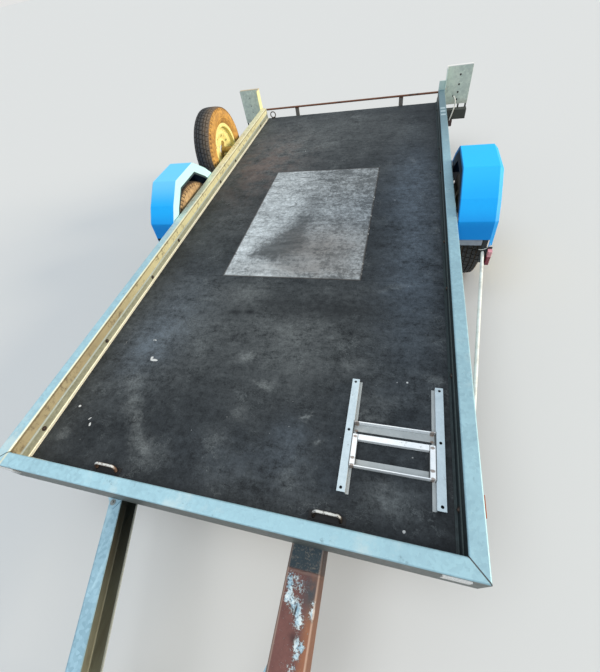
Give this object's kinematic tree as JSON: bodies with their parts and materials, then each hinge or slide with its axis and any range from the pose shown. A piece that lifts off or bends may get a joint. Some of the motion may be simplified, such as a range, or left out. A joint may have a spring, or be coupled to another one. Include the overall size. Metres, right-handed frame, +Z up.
{
  "type": "car trailer",
  "caption": "Single-axle flat-bed car trailer with galvanised rails round a plywood deck, folded mudguards, V drawbar, jockey wheel and side-carried spare wheel.",
  "frame": {"origin": "on the ground under the middle of the trailer's outline, halfway from the coupling's nose to the tail lamps", "axes": "+Z up, +Y towards the rear, +X to the right seen from the front"},
  "size_m": [1.866, 4.327, 0.768],
  "materials": {
    "galvanised": "hot-dip galvanised, dull",
    "dull_galvanised": "weathered galvanised",
    "plywood": "dark phenolic-faced plywood, scuffed",
    "worn_plate": "grey worn sheet",
    "rust": "rusted steel with old paint",
    "blue_paint": "bright blue paint",
    "cream_paint": "cream wheel paint",
    "black_paint": "black paint",
    "zinc": "bright zinc plate",
    "rubber": "matt black rubber",
    "tyre": "dusty tyre rubber",
    "white_plastic": "white reflector",
    "amber_plastic": "orange reflector",
    "red_plastic": "red lamp lens",
    "white_lead": "white cable sheath",
    "black_plastic": "black moulded plastic",
    "pale_rod": "pale painted rod"
  },
  "bodies": {
    "chassis": {"front_rail": "galvanised", "side_rail_left": "galvanised", "side_rail_right": "galvanised", "deck_front": "plywood", "deck_rear": "plywood", "deck_strip_left": "plywood", "deck_strip_right": "plywood", "deck_plate": "worn_plate", "cross_members": "dull_galvanised", "rear_crossbeam": "dull_galvanised", "light_board_left": "galvanised", "light_board_right": "galvanised", "tail_lamps": "red_plastic", "rear_stop_bar": "rust", "axle_beam": "dull_galvanised", "swing_arm_left": "black_paint", "swing_arm_right": "black_paint", "mudguard_left": "blue_paint", "mudguard_right": "blue_paint", "mudguard_strips": "dull_galvanised", "mudguard_brackets": "dull_galvanised", "stay_rods": "pale_rod", "marker_lamps": "red_plastic", "front_reflectors": "white_plastic", "side_reflectors": "amber_plastic", "junction_box": "black_plastic", "lamp_lead": "white_lead", "spare_rim": "cream_paint", "spare_tyre": "tyre", "spare_carrier": "dull_galvanised", "drawbar_arm_left": "galvanised", "drawbar_arm_right": "galvanised", "drawbar_repair_box": "rust", "drawbar_head_plates": "galvanised", "coupling_head": "zinc", "coupling_lever": "black_plastic", "jockey_clamp": "zinc", "jockey_outer_tube": "zinc", "jockey_crank": "zinc", "lashing_staples": "rust", "rear_ring": "rust", "chock_frame": "zinc"},
    "wheel_left": {"hub_left": "zinc", "rim_left": "cream_paint", "tyre_left": "tyre"},
    "wheel_right": {"hub_right": "zinc", "rim_right": "cream_paint", "tyre_right": "tyre"},
    "jockey_slide": {"jockey_inner_tube": "zinc"},
    "jockey_castor": {"jockey_fork": "zinc"},
    "jockey_roller": {"jockey_wheel": "rubber"}
  },
  "joints": [
    {"name": "wheel_left_spin", "type": "hinge", "parent": "chassis", "child": "wheel_left", "pos_m": [-0.8445, 0.6415, 0.271], "axis": [1, 0, 0], "continuous": true},
    {"name": "wheel_right_spin", "type": "hinge", "parent": "chassis", "child": "wheel_right", "pos_m": [0.8445, 0.6415, 0.271], "axis": [1, 0, 0], "continuous": true},
    {"name": "jockey_lift", "type": "slide", "parent": "chassis", "child": "jockey_slide", "axis": [0, 0, 1], "range_m": [-0.12, 0.06]},
    {"name": "jockey_swivel", "type": "hinge", "parent": "jockey_slide", "child": "jockey_castor", "pos_m": [-0.20633, -1.64505, 0.177], "axis": [0, 0, 1], "continuous": true},
    {"name": "jockey_wheel_spin", "type": "hinge", "parent": "jockey_castor", "child": "jockey_roller", "pos_m": [-0.20633, -1.60905, 0.08], "axis": [1, 0, 0], "continuous": true}
  ]
}
